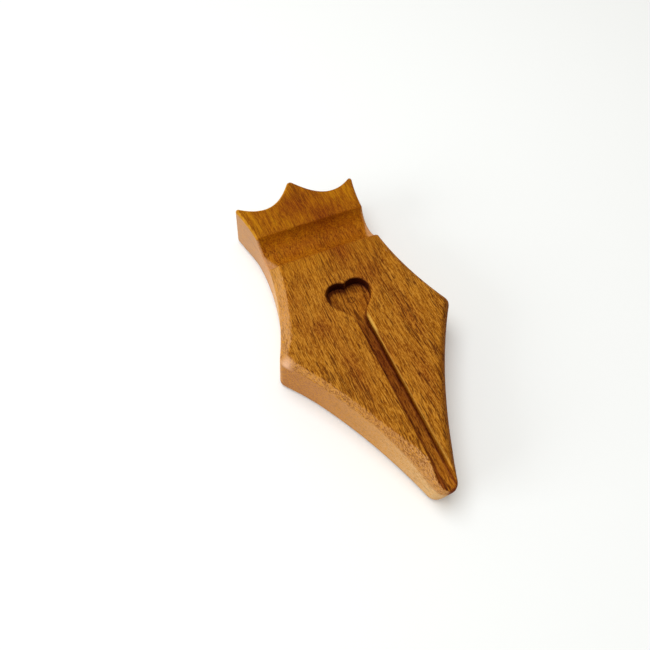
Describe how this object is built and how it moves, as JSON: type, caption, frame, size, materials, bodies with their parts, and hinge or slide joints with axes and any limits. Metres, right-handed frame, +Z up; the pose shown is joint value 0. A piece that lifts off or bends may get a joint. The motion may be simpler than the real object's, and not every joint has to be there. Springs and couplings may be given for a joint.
{
  "type": "pen rest",
  "caption": "Carved hardwood pen rest in the shape of a fountain-pen nib, with a round groove across its neck for one pen, on felt pads.",
  "frame": {"origin": "middle of the object's box, at the lower face of the felt pads, where it stands on the desk", "axes": "+Y from the nose of the nib to its crown, +X across the blade, +Z up out of the carved face"},
  "size_m": [0.0834, 0.18, 0.0233],
  "materials": {
    "oiled_wood": "oiled, satin, hand sanded",
    "felt": "pressed wool felt, matt"
  },
  "bodies": {
    "root": {"nib_block": "oiled_wood", "felt_pad_nose": "felt", "felt_pad_shoulder_left": "felt", "felt_pad_shoulder_right": "felt", "felt_pad_crown_left": "felt", "felt_pad_crown_right": "felt"}
  },
  "joints": []
}
